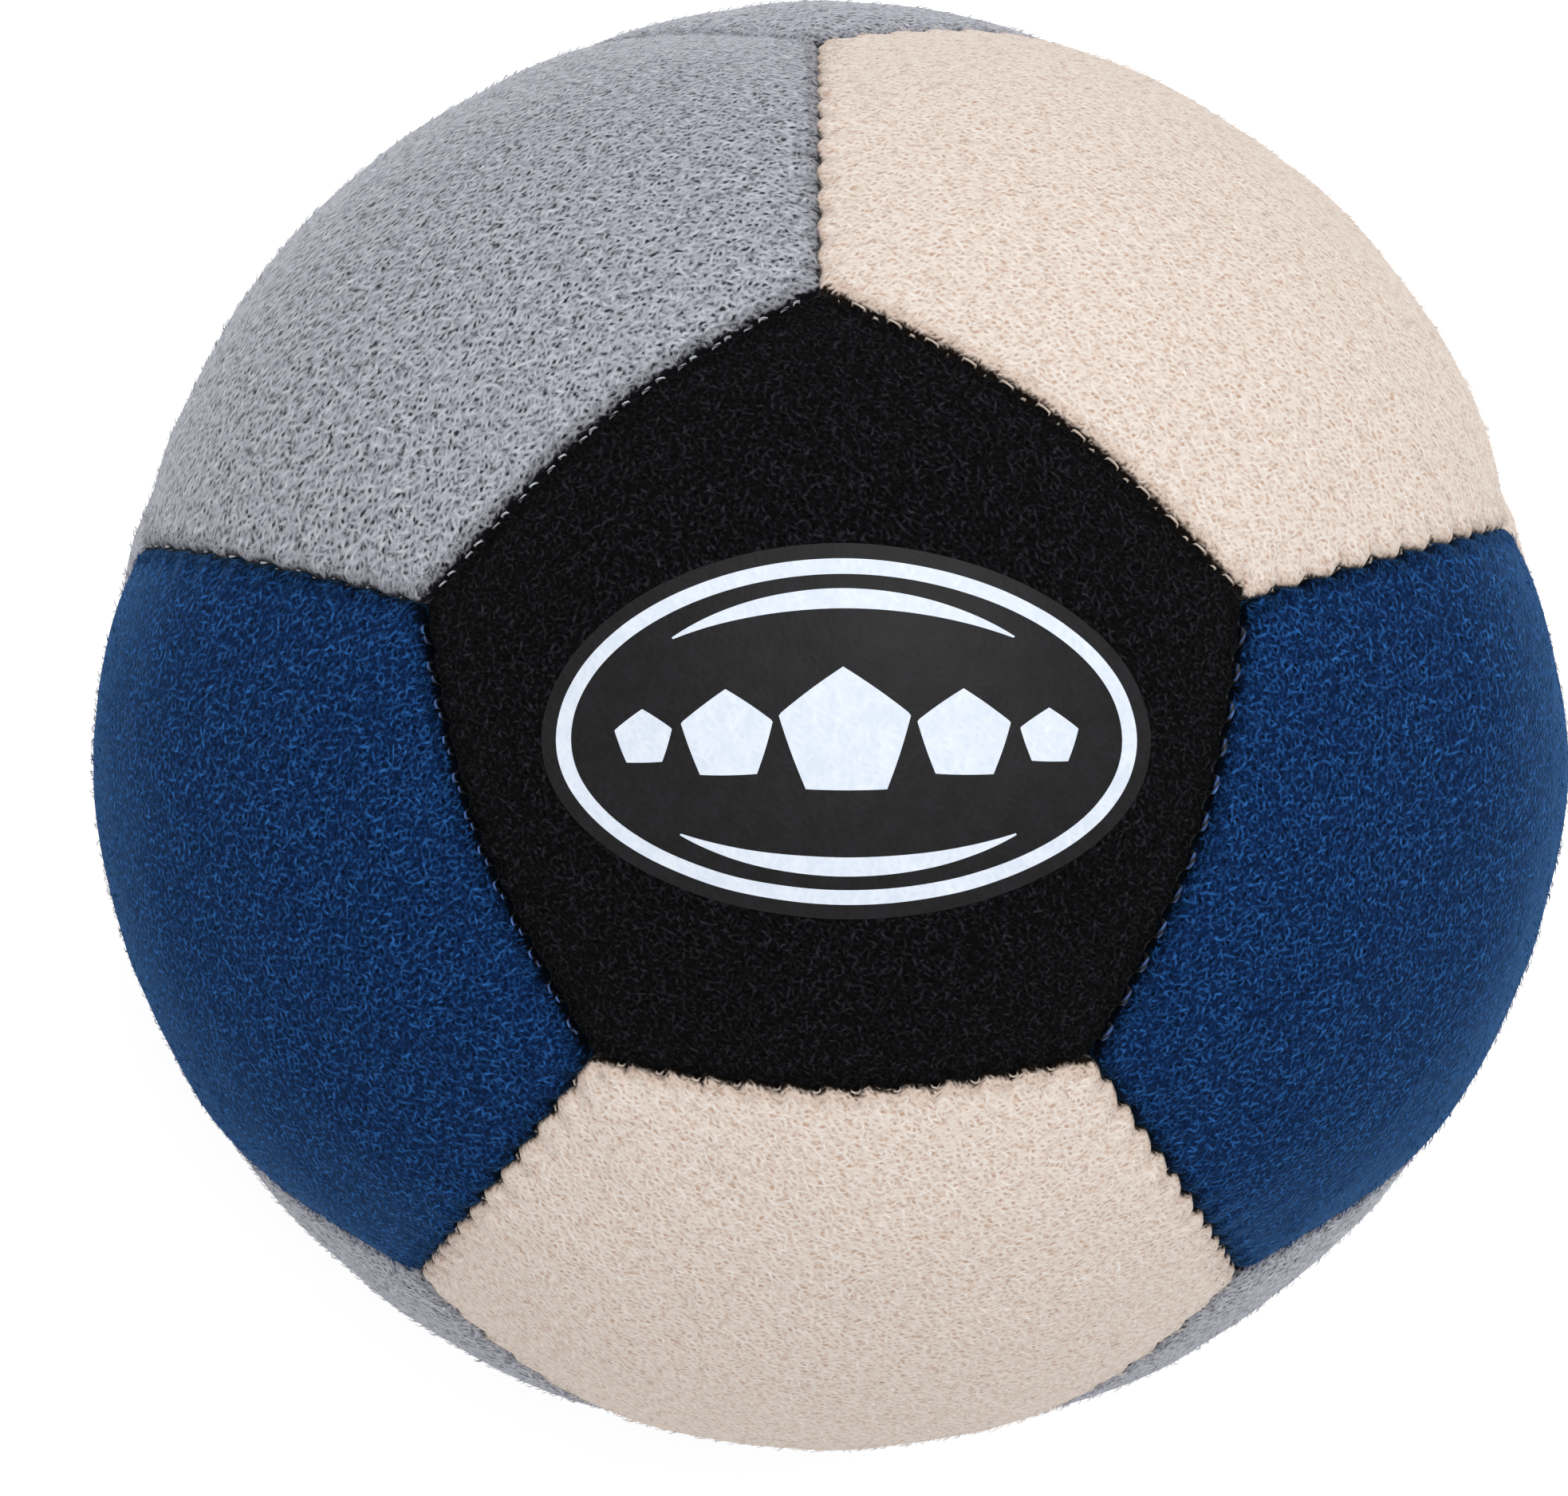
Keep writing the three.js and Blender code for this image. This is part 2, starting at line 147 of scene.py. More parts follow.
class Panel:
    """One panel: its suede, where it lies, its own axes and its neighbours."""

    def __init__(self, name, suede, polar, azimuth, comb):
        self.name = name
        self.suede = suede
        self.node = f"panel_{name}_{suede}"
        self.middle = sphere_direction(polar, azimuth)
        self.comb = math.radians(comb)

    def meet(self, panels):
        """Finds the five neighbours, and the axes that run across the panel and along its first side."""
        self.neighbours = []
        for panel in panels:
            apart = math.acos(np.clip(panel.middle @ self.middle, -1, 1))
            if abs(apart - FACE_ANGLE) < FACE_ANGLE * NEIGHBOUR_SLACK:
                self.neighbours.append(panel)
        towards = self.neighbours[0].middle
        self.across = unit(towards - (towards @ self.middle) * self.middle)
        self.along = np.cross(self.middle, self.across)
        self.planes = np.array([unit(self.middle - panel.middle) for panel in self.neighbours])
        self.side_neighbour = {}
        for panel in self.neighbours:
            turn = math.atan2(panel.middle @ self.along, panel.middle @ self.across)
            self.side_neighbour[round(turn / SIDE_TURN) % 5] = panel

    def towards(self, angle, azimuth):
        """Unit vectors at an angle from the panel's middle, in the direction of an azimuth on the panel."""
        angle, azimuth = np.broadcast_arrays(angle, azimuth)
        return (np.cos(angle)[..., None] * self.middle
                + (np.sin(angle) * np.cos(azimuth))[..., None] * self.across
                + (np.sin(angle) * np.sin(azimuth))[..., None] * self.along)


panels = [Panel(*row) for row in PANELS]
for panel in panels:
    panel.meet(panels)


def smoothstep(value, start, end):
    """Nought up to the start and one from the end on, with a soft rise in between."""
    share = np.clip((value - start) / (end - start), 0, 1)
    return share * share * (3 - 2 * share)


REGULAR_CORNERS = np.array([sphere_direction(*row[:2]) for row in SETTLED_CORNERS])
CORNER_SHIFTS = np.array([sphere_direction(*row[2:]) for row in SETTLED_CORNERS]) - REGULAR_CORNERS


def settled(points):
    """Moves points of the regular pattern round the ball to where they lie in the settled bag."""
    lengths = np.linalg.norm(points, axis=-1, keepdims=True)
    towards = points / lengths
    apart = np.arccos(np.clip(towards @ REGULAR_CORNERS.T, -1, 1))
    moved = towards + (1 - smoothstep(apart, 0, 2 * EDGE_HALF_ARC)) @ CORNER_SHIFTS
    return moved / np.linalg.norm(moved, axis=-1, keepdims=True) * lengths


def push_out(towards):
    """How far the pellets push the skin out in each direction."""
    towards = settled(towards)
    heights = []
    for polar, azimuth, height, full_angle, end_angle in BULGES:
        angle = np.degrees(np.arccos(np.clip(towards @ sphere_direction(polar, azimuth), -1, 1)))
        heights.append(height * (1 - smoothstep(angle, full_angle, end_angle)))
    return np.max(heights, axis=0)


def swell(points, seed, wavelength, waves=14):
    """Soft uneven swelling, about -1 to 1, with bumps of about the given length."""
    dice = np.random.default_rng(seed)
    ways = unit(dice.normal(size=(waves, 3)))
    ways *= (TURN / (wavelength * dice.uniform(0.7, 1.5, waves)))[:, None]
    return np.sin(points @ ways.T + dice.uniform(0, TURN, waves)).sum(-1) / math.sqrt(waves * 2)


def distance_to_seams(panel, points, rounding):
    """Distance from the nearest seam plane, with the corners rounded off."""
    distances = np.sort(points @ panel.planes.T, axis=-1)
    nearest, following = distances[..., 0], distances[..., 1]
    blend = np.clip(1 - (following - nearest) / rounding, 0, None) if rounding else 0
    return nearest - blend * blend * rounding / 4


def angle_at_distance(panel, radius, distance, azimuth, rounding):
    """Angle from the panel's middle at which points on a sphere lie a distance inside the seams."""
    inside = np.zeros_like(azimuth)
    outside = np.full_like(azimuth, FACE_ANGLE)
    for _ in range(HALVINGS):
        middle = (inside + outside) / 2
        points = panel.towards(middle, azimuth) * np.broadcast_to(radius, azimuth.shape)[:, None]
        deep = distance_to_seams(panel, points, rounding) > distance
        inside = np.where(deep, middle, inside)
        outside = np.where(deep, outside, middle)
    return inside


def corner_share(azimuth):
    """Nought in the middle of a side and one at a corner."""
    return (1 - np.cos(5 * azimuth)) / 2


# Places round a panel, evenly spaced along its sides
steps = np.arange(5 * STEPS_PER_SIDE)
side_of_step = steps // STEPS_PER_SIDE
arc_of_step = (steps % STEPS_PER_SIDE / STEPS_PER_SIDE * 2 - 1) * EDGE_HALF_ARC
ROUND = side_of_step * SIDE_TURN + np.arctan(np.tan(arc_of_step) / math.sin(MIDSIDE_ANGLE))


def lip_radius(panel, azimuth):
    """How far the top of the lip lies from the ball's centre."""
    angle = angle_at_distance(panel, SEAM_RADIUS, 0, azimuth, 0)
    return SEAM_RADIUS - CORNER_SINK * corner_share(azimuth) + push_out(panel.towards(angle, azimuth))


# How each seam lies, by the suedes of its first and second panel, the darker one first. The slit waves to
# and fro by "wave" at each stitch, and "lean" makes the wave a slanted tooth. Both lips are drawn down by
# "pucker" and pressed towards each other by "shut". At the "hole", a place in the pitch, each lip is drawn
# back by its "nicks" and its nap takes painted shade by its "shade". "deep" is how much further down each lip
# the painted slit shade starts, and "thread" is the thread's width. Each pitch shows the stitches of "shows":
# place in the pitch, length, depth of the middle line, offset towards the second panel, and slant.
SEAMS = {
    "lower": dict(
        wave=0.17, lean=-0.9, pucker=0.10, shut=(0.0, 0.04), hole=0.42, nicks=(0.0, 0.04),
        shade=(0.0, 0.05), deep=(0.0, 0.05), thread=0.11,
        shows=[(0.34, 0.36, 0.04, -0.02, 0.0)]),
    "black cream": dict(
        wave=0.03, lean=0.0, pucker=0.08, shut=(0.0, -0.03), hole=0.80, nicks=(0.02, 0.04),
        shade=(0.0, 0.05), deep=(0.0, 0.05), thread=0.11,
        shows=[(0.30, 0.62, 0.00, -0.06, 0.02), (0.80, 0.14, 0.04, -0.12, 0.0)]),
    "black blue left": dict(
        wave=0.05, lean=0.2, pucker=0.10, shut=(0.0, 0.0), hole=0.90, nicks=(0.03, 0.06),
        shade=(0.0, 0.04), deep=(0.0, 0.0), thread=0.12,
        shows=[(0.28, 0.36, 0.08, 0.10, 0.02), (0.60, 0.28, 0.12, 0.09, 0.02)]),
    "black gray": dict(
        wave=0.04, lean=0.2, pucker=0.10, shut=(0.0, 0.02), hole=0.98, nicks=(0.02, 0.05),
        shade=(0.0, 0.05), deep=(0.0, 0.02), thread=0.12,
        shows=[(0.30, 0.36, 0.08, -0.10, 0.03), (0.68, 0.44, 0.12, -0.08, 0.03)]),
    "pale": dict(
        wave=0.10, lean=0.3, pucker=0.14, shut=(0.12, 0.14), hole=0.25, nicks=(0.14, 0.05),
        shade=(0.12, 0.0), deep=(0.12, 0.16), thread=0.10,
        shows=[(0.75, 0.12, 0.30, 0.0, 0.0)]),
    "blue cream": dict(
        wave=0.14, lean=-0.7, pucker=0.12, shut=(0.0, 0.12), hole=0.40, nicks=(0.03, 0.10),
        shade=(0.04, 0.0), deep=(0.0, 0.14), thread=0.10,
        shows=[(0.46, 0.16, 0.06, -0.02, -0.03)]),
    "blue gray": dict(
        wave=0.07, lean=0.4, pucker=0.12, shut=(0.0, 0.10), hole=0.40, nicks=(0.04, 0.06),
        shade=(0.04, 0.0), deep=(0.0, 0.14), thread=0.10,
        shows=[(0.34, 0.15, 0.06, -0.08, 0.0), (0.86, 0.09, 0.13, -0.08, 0.0)]),
}
SEAMS["black blue right"] = {
    **SEAMS["black blue left"], "thread": 0.20, "shows": [(0.40, 0.72, 0.14, 0.07, 0.06)]}
DARKEST_FIRST = ("black", "blue", "gray", "cream")
HOLE_SHAPE = 4
HOLE_UNEVENNESS = 0.4

# The wave grows and dies over this stretch at both ends of a seam, in stitches
WAVE_FADE = (-0.2, 0.8)


def seam_order(panel, other):
    """The two panels of a seam, the darker suede first."""
    return sorted((panel, other), key=lambda one: (DARKEST_FIRST.index(one.suede), panels.index(one)))


def seam_look(first, second):
    """Which row of the seams' table a seam follows."""
    pair = f"{first.suede} {second.suede}"
    if second.name == "lower" and first.name == "badge":
        return "lower"
    if pair == "black blue":
        return f"{pair} {second.name}"
    return pair if pair in SEAMS else "pale"


def stitch_count(arc):
    """How many stitches along the seam a place lies, counted from the first stitch's start."""
    return (arc * SEAM_RADIUS + STITCHES_PER_SEAM * STITCH_PITCH / 2) / STITCH_PITCH


def seam_wave(look, count):
    """How far the slit lies towards the second panel."""
    facts = SEAMS[look]
    turn = TURN * count
    fade = smoothstep(count, *WAVE_FADE) * smoothstep(STITCHES_PER_SEAM - count, *WAVE_FADE)
    return facts["wave"] * np.sin(turn + facts["lean"] * np.sin(turn)) * fade


def seam_hole(look, count, seed):
    """Nought between two stitches and about one at a stitch hole, no two of them alike."""
    hole = np.cos(math.pi * (count - SEAMS[look]["hole"])) ** 2
    uneven = 1 + HOLE_UNEVENNESS * np.sin(count * 2.1 + seed) * np.sin(count * 0.77 + 2.3 * seed)
    return hole ** HOLE_SHAPE * uneven


def seam_pucker(look, count):
    """How far both lips are drawn down."""
    return SEAMS[look]["pucker"] * (0.5 + 0.5 * np.cos(TURN * (count - SEAMS[look]["hole"])))


# At each place round a panel: where its lip lies, how far the lip is drawn back and down, how much
# painted shade its nap takes at the holes, and how much further down its painted shade starts
for panel in panels:
    panel.lip_radius = lip_radius(panel, ROUND)
    panel.lip_angle = angle_at_distance(
        panel, panel.lip_radius, SEAM_GAP / 2 + LIP_RADIUS, ROUND, CORNER_ROUNDING)
    panel.draw = np.zeros_like(ROUND)
    panel.pucker = np.zeros_like(ROUND)
    panel.shade = np.zeros_like(ROUND)
    panel.deep = np.zeros_like(ROUND)
    for side, other in panel.side_neighbour.items():
        here = side_of_step == side
        first, second = seam_order(panel, other)
        is_first = panel is first
        look = seam_look(first, second)
        facts = SEAMS[look]
        count = stitch_count(arc_of_step[here] if is_first else -arc_of_step[here])
        wave = seam_wave(look, count)
        hole = seam_hole(look, count, 10 * panels.index(first) + panels.index(second))
        lip = 0 if is_first else 1
        panel.draw[here] = (-wave if is_first else wave) + facts["nicks"][lip] * hole - facts["shut"][lip]
        panel.pucker[here] = seam_pucker(look, count)
        panel.shade[here] = facts["shade"][lip] * hole
        panel.deep[here] = facts["deep"][lip]


def around(values, azimuth):
    """Looks up values, given at the places round a panel, at other azimuths."""
    start = ROUND[0]
    return np.interp((azimuth - start) % TURN, ROUND - start, values, period=TURN)


# The skin's soft unevenness: the height and length of its bumps, and their first seed. It begins inside the
# calm edge, and a pucker reaches this far in from the lip.
SKIN_BUMPS = ((0.07, 7.0, 40), (0.022, 2.2, 80))
CALM_EDGE = 3
PUCKER_REACH = 0.8


def skin_radius(panel, angle, azimuth, towards, lip_angle, pucker):
    """How far the skin lies from the ball's centre, before the bag is laid down."""
    share = angle / lip_angle
    fall = (CROWN_RISE + CORNER_SINK * corner_share(azimuth)) * share ** CROWN_POWER
    radius = SEAM_RADIUS + CROWN_RISE - fall + push_out(towards)
    from_lip = np.clip(lip_angle - angle, 0, None) * SEAM_RADIUS
    bumps = sum(height * swell(towards * SEAM_RADIUS, seed + panels.index(panel), length)
                for height, length, seed in SKIN_BUMPS)
    radius = radius + smoothstep(from_lip, 0, CALM_EDGE) * bumps
    return radius - pucker * np.exp(-(from_lip / PUCKER_REACH) ** 2)


# The rest panel is flat out to this angle from its middle, as in the part
REST = panels[-1]
REST_ANGLE = math.asin(REST_FLAT_WIDTH / 2 / (SEAM_RADIUS + CROWN_RISE))
REST_CORNER = np.array([SIDE_TURN / 2])
REST_SHARE = REST_ANGLE / angle_at_distance(
    REST, lip_radius(REST, REST_CORNER), PART_LIP_WIDTH, REST_CORNER, PART_CORNER_ROUNDING)[0]
REST_FALL = (CROWN_RISE + CORNER_SINK) * REST_SHARE ** CROWN_POWER
REST_DEPTH = (SEAM_RADIUS + CROWN_RISE - REST_FALL) * math.cos(REST_ANGLE)


def pressed_flat(panel, radius, towards):
    """Presses the rest panel flat where the bag lies on it."""
    if panel is not REST:
        return radius
    return np.minimum(radius, REST_DEPTH / np.clip(-towards[..., 2], 0.1, None))


def skin_points(panel, angle, azimuth, lift):
    """Points over a panel's skin, in millimetres from the ball's centre."""
    towards = panel.towards(angle, azimuth)
    lip_angle = around(panel.lip_angle, azimuth)
    pucker = around(panel.pucker, azimuth)
    radius = skin_radius(panel, angle, azimuth, towards, lip_angle, pucker)
    return towards * (pressed_flat(panel, radius, towards) + lift)[..., None]


def combed(panel, reach, azimuth):
    """Millimetres along and across the nap, from a place in the pattern that is the panel's own."""
    along = reach * np.cos(azimuth - panel.comb) + PATTERN_STEP * panels.index(panel)
    over = reach * np.sin(azimuth - panel.comb)
    return np.stack([along, over, np.zeros_like(along)], axis=-1)


def new_object(name, data):
    """An object in the scene."""
    thing = bpy.data.objects.new(name, data)
    bpy.context.scene.collection.objects.link(thing)
    return thing


def make_piece(name, points, faces, material, combs, depths=None, loose=None):
    """A piece of the bag from points in millimetres from the ball's centre."""
    mesh = bpy.data.meshes.new(name)
    points = (settled(np.asarray(points)) + np.array([0, 0, REST_DEPTH])) * MM
    mesh.from_pydata(points.tolist(), [], faces)
    mesh.attributes.new("comb_mm", "FLOAT_VECTOR", "POINT").data.foreach_set("vector", np.ravel(combs))
    for fact, values in (("depth_mm", depths), ("loose", loose)):
        if values is not None:
            mesh.attributes.new(fact, "FLOAT", "POINT").data.foreach_set("value", np.ravel(values))
    mesh.shade_smooth()
    mesh.validate()
    mesh.materials.append(material)
    piece = new_object(name, mesh)
    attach(piece, "root")
    return piece


# Materials

def linear(code):
    """A linear colour from an sRGB hex code."""
    parts = [int(code[i:i + 2], 16) / 255 for i in (0, 2, 4)]
    return (*(p / 12.92 if p <= 0.04045 else ((p + 0.055) / 1.055) ** 2.4 for p in parts), 1.0)


def add(tree, kind, inputs=None, **settings):
    """Adds a shader node. An input is a number, a colour, or the output of another node to link from."""
    node = tree.nodes.new(f"ShaderNode{kind}")
    for name, value in settings.items():
        setattr(node, name, value)
    for name, value in (inputs or {}).items():
        if isinstance(value, bpy.types.Node):
            value = value.outputs[0]
        if isinstance(value, bpy.types.NodeSocket):
            tree.links.new(value, node.inputs[name])
        else:
            node.inputs[name].default_value = value
    return node


def attribute(tree, name, output="Fac"):
    """What a mesh says at each place, under a name."""
    return add(tree, "Attribute", attribute_name=name).outputs[output]


def calc(tree, operation, *values):
    """Works out a value."""
    return add(tree, "Math", dict(enumerate(values)), operation=operation)


def ranged(tree, value, start, end, low=0.0, high=1.0, **settings):
    """From low to high as a value goes from the start to the end."""
    return add(tree, "MapRange", {
        "Value": value, "From Min": start, "From Max": end, "To Min": low, "To Max": high}, **settings)


def mixed(tree, share, colour, other):
    """A colour with a share of another mixed in."""
    return add(tree, "Mix", {0: share, 6: colour, 7: other}, data_type="RGBA").outputs[2]


def surface(tree, height, strength, relief, inputs):
    """Ends a material with its shader, and with a relief in millimetres that follows a height."""
    bump = add(tree, "Bump", {"Height": height, "Strength": strength, "Distance": relief * MM})
    shader = add(tree, "BsdfPrincipled", {**inputs, "Normal": bump})
    add(tree, "OutputMaterial", {"Surface": shader})


def new_material(name):
    material = bpy.data.materials.new(name)
    material.use_nodes = True
    material.node_tree.nodes.clear()
    return material, material.node_tree


# Colours of each suede, from the bottom of the pits over the body of the nap to the tips, and of the nap in
# the slits. The pits' colour is painted shade between the strands, the tips' paler colour is partly the
# fibres' own and partly a painted highlight, and the slits' colour is painted shade. "sheen" and "glow" are
# how much light the tips catch at the rim, and its colour. The strands are as fine as "size" and lie in two
# layers that cross at the angle "cross". They bend by up to "stray" to each side, "drift" times in a
# millimetre, and "patchy" is how much the nap thickens and thins. "span" is the height of the strands at the
# pits and at the tips, and the body's colour lies at "rise" between them.
SUEDES = {
    "black": dict(pit="010101", body="0d0c0e", tip="313036", slit="020202", sheen=0.02, glow="8c8c96",
                  size=2.5, cross=1.3, drift=2.0, stray=1.6, patchy=0.25, span=(0.30, 0.93), rise=0.45),
    "blue": dict(pit="000611", body="0e264e", tip="2d68ad", slit="02050b", sheen=0.40, glow="5f9fe0",
                 size=2.5, cross=1.2, drift=2.0, stray=1.4, patchy=0.25, span=(0.29, 0.90), rise=0.45),
    "gray": dict(pit="2a2a30", body="9fa0a9", tip="d6d7df", slit="101013", sheen=0.60, glow="e4e6ee",
                 size=2.5, cross=1.0, drift=1.7, stray=0.95, patchy=0.42, span=(0.34, 0.98), rise=0.33),
    "cream": dict(pit="bf9f8a", body="dfd1c6", tip="f6eee8", slit="18120e", sheen=0.50, glow="fff4ea",
                  size=2.8, cross=1.0, drift=1.7, stray=0.95, patchy=0.38, span=(0.31, 0.94), rise=0.36),
}


def crossing_strands(tree, place, size, cross, drift, stray):
    """Two layers of fine strands that cross and bend. A strand is drawn a tenth of a millimetre wide, as
    coarse as it needs to show."""
    flow = add(tree, "TexNoise", {"Vector": place, "Scale": drift, "Detail": 2.0}, noise_dimensions="2D")
    strands = []
    for turn, finer in ((-cross / 2, 1.0), (cross / 2, 1.25)):
        middle = math.pi / 2 + turn
        way = ranged(tree, flow, 0.25, 0.75, middle - stray, middle + stray)
        strands.append(add(tree, "TexGabor", {
            "Vector": place, "Scale": size * finer, "Frequency": 1.15, "Anisotropy": 0.88,
            "Orientation": way}))
    return calc(tree, "MAXIMUM", *strands)


def suede_material(name, pit, body, tip, slit, sheen, glow, size, cross, drift, stray, patchy, span, rise):
    """Napped synthetic suede. Fine strands lie over one another above dark pits, brushed one way in soft
    patches, and their tips catch light at the rim."""
    material, tree = new_material(f"napped_suede_{name}")
    place = attribute(tree, "comb_mm", "Vector")
    nap = crossing_strands(tree, place, size, cross, drift, stray)

    # Soft thick and thin patches, half a millimetre across
    patches = add(tree, "TexNoise", {
        "Vector": place, "Scale": 2.2, "Detail": 2.0, "Roughness": 0.6}, noise_dimensions="2D")
    patches = calc(tree, "SUBTRACT", patches, 0.5)
    nap = ranged(tree, calc(tree, "MULTIPLY_ADD", patches, patchy, nap), *span)
    # The ramp paints shade into the pits between the strands, and partly a painted highlight on their tips
    ramp = add(tree, "ValToRGB", {"Fac": nap})
    ramp.color_ramp.elements[0].color = linear(pit)
    ramp.color_ramp.elements[1].color = linear(tip)
    ramp.color_ramp.elements.new(rise).color = linear(body)

    # Loose fibres over the skin are nearly as pale as the tips. Where the skin turns in at a seam, painted
    # shade darkens the nap towards the pits' colour. Inside the slits painted shade turns it to the slit
    # colour, the pits sooner than the strands.
    colour = mixed(tree, attribute(tree, "loose"), ramp, linear(tip))
    depth = attribute(tree, "depth_mm")
    painted_seam_shade = ranged(tree, depth, -0.25, 0.05, 0.0, 0.38, interpolation_type="SMOOTHSTEP")
    colour = mixed(tree, painted_seam_shade, colour, linear(pit))
    depth = calc(tree, "MULTIPLY_ADD", nap, -0.25, depth)
    inside = ranged(tree, depth, -0.12, 0.14, interpolation_type="SMOOTHSTEP")
    colour = mixed(tree, inside, colour, linear(slit))
    surface(tree, nap, 0.8, 0.06, {
        "Base Color": colour, "Roughness": 0.95, "IOR": 1.45, "Specular IOR Level": 0.05,
        "Sheen Weight": sheen, "Sheen Roughness": 0.35, "Sheen Tint": linear(glow)})
    return material


suedes = {name: suede_material(name, **facts) for name, facts in SUEDES.items()}


# Panels

# Rings of a panel: over the skin as shares of the way to the lip, closer near it, then round the lip, down
# the seam allowance and back over the inside
SKIN_SHARES = np.concatenate([np.linspace(0.02, 0.88, 36), np.linspace(0.89, 1.0, 16)])
LIP_TURNS = np.radians([12, 24, 36, 48, 60, 72, 84, 90])
WALL_DEPTHS = (0.75, 1.1, 1.6, SEAM_ALLOWANCE)
INSIDE_SHARES = (0.93, 0.75, 0.5, 0.25)

# How far in from the lip the skin is drawn with it, and how far in the painted shade at the holes reaches
LIP_DRAW_REACH = 0.55
SHADE_REACH = 0.35


def lathe_faces(rings, points, first_centre, last_centre):
    """Faces that join rings of points one after another, with a fan to a middle point at each end."""
    faces = []
    for ring in range(rings - 1):
        a, b = ring * points, (ring + 1) * points
        faces += [(a + i, b + i, b + (i + 1) % points, a + (i + 1) % points) for i in range(points)]
    faces += [(first_centre, i, (i + 1) % points) for i in range(points)]
    last = (rings - 1) * points
    faces += [(last + (i + 1) % points, last + i, last_centre) for i in range(points)]
    return faces


def panel_shell(panel):
    """A panel of suede as a closed shell: skin, rolled lip, seam allowance and inside."""
    rings, combs, depths = [], [], []

    def add_ring(towards, radius, reach, depth):
        rings.append(towards * np.broadcast_to(radius, ROUND.shape)[:, None])
        combs.append(combed(panel, reach, ROUND))
        depths.append(np.broadcast_to(depth, ROUND.shape))

    for share in SKIN_SHARES:
        base = share * panel.lip_angle
        from_lip = (panel.lip_angle - base) * SEAM_RADIUS
        angle = base - panel.draw * np.exp(-(from_lip / LIP_DRAW_REACH) ** 2) / SEAM_RADIUS
        towards = panel.towards(angle, ROUND)
        radius = skin_radius(panel, base, ROUND, towards, panel.lip_angle, panel.pucker)
        # depth_mm holds how far down the lip a place lies, negative over the skin, less "deep" and plus the
        # painted shade at the holes. The material paints shade on the nap from it.
        shade = panel.shade * np.exp(-(from_lip / SHADE_REACH) ** 2)
        add_ring(towards, pressed_flat(panel, radius, towards), base * SEAM_RADIUS,
                 shade - panel.deep - np.minimum(from_lip, 1))
    reach = panel.lip_angle * SEAM_RADIUS
    for turn in LIP_TURNS:
        distance = SEAM_GAP / 2 + LIP_RADIUS * (1 - math.sin(turn))
        depth = LIP_RADIUS * (1 - math.cos(turn))
        rounding = CORNER_ROUNDING + (ALLOWANCE_ROUNDING - CORNER_ROUNDING) * math.sin(turn)
        radius = panel.lip_radius - panel.pucker - depth
        angle = angle_at_distance(panel, radius, distance, ROUND, rounding) - panel.draw / SEAM_RADIUS
        add_ring(panel.towards(angle, ROUND), radius, reach + LIP_RADIUS * turn,
                 depth + panel.shade - panel.deep)
    reach = reach + LIP_RADIUS * math.pi / 2
    for depth in WALL_DEPTHS:
        radius = panel.lip_radius - depth
        fade = max(0.0, 1 - (depth - LIP_RADIUS) / SUEDE_THICKNESS)
        angle = angle_at_distance(panel, radius, SEAM_GAP / 2, ROUND, ALLOWANCE_ROUNDING)
        angle = angle - panel.draw * fade / SEAM_RADIUS
        add_ring(panel.towards(angle, ROUND), radius, reach + depth, depth)
    inward = SEAM_GAP / 2 + SUEDE_THICKNESS
    inner_wall = (
        (inward, SEAM_ALLOWANCE),
        (inward, SUEDE_THICKNESS + LIP_RADIUS),
        (inward + LIP_RADIUS, SUEDE_THICKNESS),
    )
    for distance, depth in inner_wall:
        radius = panel.lip_radius - depth
        angle = angle_at_distance(panel, radius, distance, ROUND, ALLOWANCE_ROUNDING)
        add_ring(panel.towards(angle, ROUND), radius, reach + depth, depth)
    for share in INSIDE_SHARES:
        angle = share * panel.lip_angle * INSIDE_SHARES[0]
        towards = panel.towards(angle, ROUND)
        radius = skin_radius(panel, angle, ROUND, towards, panel.lip_angle, 0)
        radius = pressed_flat(panel, radius, towards) - SUEDE_THICKNESS
        add_ring(towards, radius, angle * SEAM_RADIUS, SUEDE_THICKNESS)

    middle = np.zeros(1)
    top = skin_points(panel, middle, middle, 0)
    bottom = top - panel.middle * SUEDE_THICKNESS
    faces = lathe_faces(len(rings), len(ROUND), len(rings) * len(ROUND), len(rings) * len(ROUND) + 1)
    points = np.concatenate([*rings, top, bottom])
    combs = np.concatenate([*combs, combed(panel, np.zeros(2), np.zeros(2))])
    depths = np.concatenate([*depths, [-1, SUEDE_THICKNESS]])
    return points, faces, combs, depths


# Loose fibres that stand up from the nap, thicker along the lips, where the skin was folded over
FIBRES_PER_MM2 = 2.5
FIBRES_PER_LIP_MM = {"black": 5, "blue": 8, "gray": 9, "cream": 6}
FIBRE_LENGTHS = (0.20, 0.42)
FIBRE_WIDTH = 0.04
FIBRE_RINGS = (0.0, 0.35, 0.7)
LIP_FRINGE = (-0.12, 0.35)
FIBRE_STRAY = 0.7
FIBRE_HEIGHTS = (0.2, 0.42)
FIBRE_CURL = 0.35
FIBRE_BOW = 2.4
FIBRE_TAPER = 0.6
FIBRE_PALENESS = 0.6
FIBRE_SHADE = 0.3
REST_CLEARANCE = 1.2


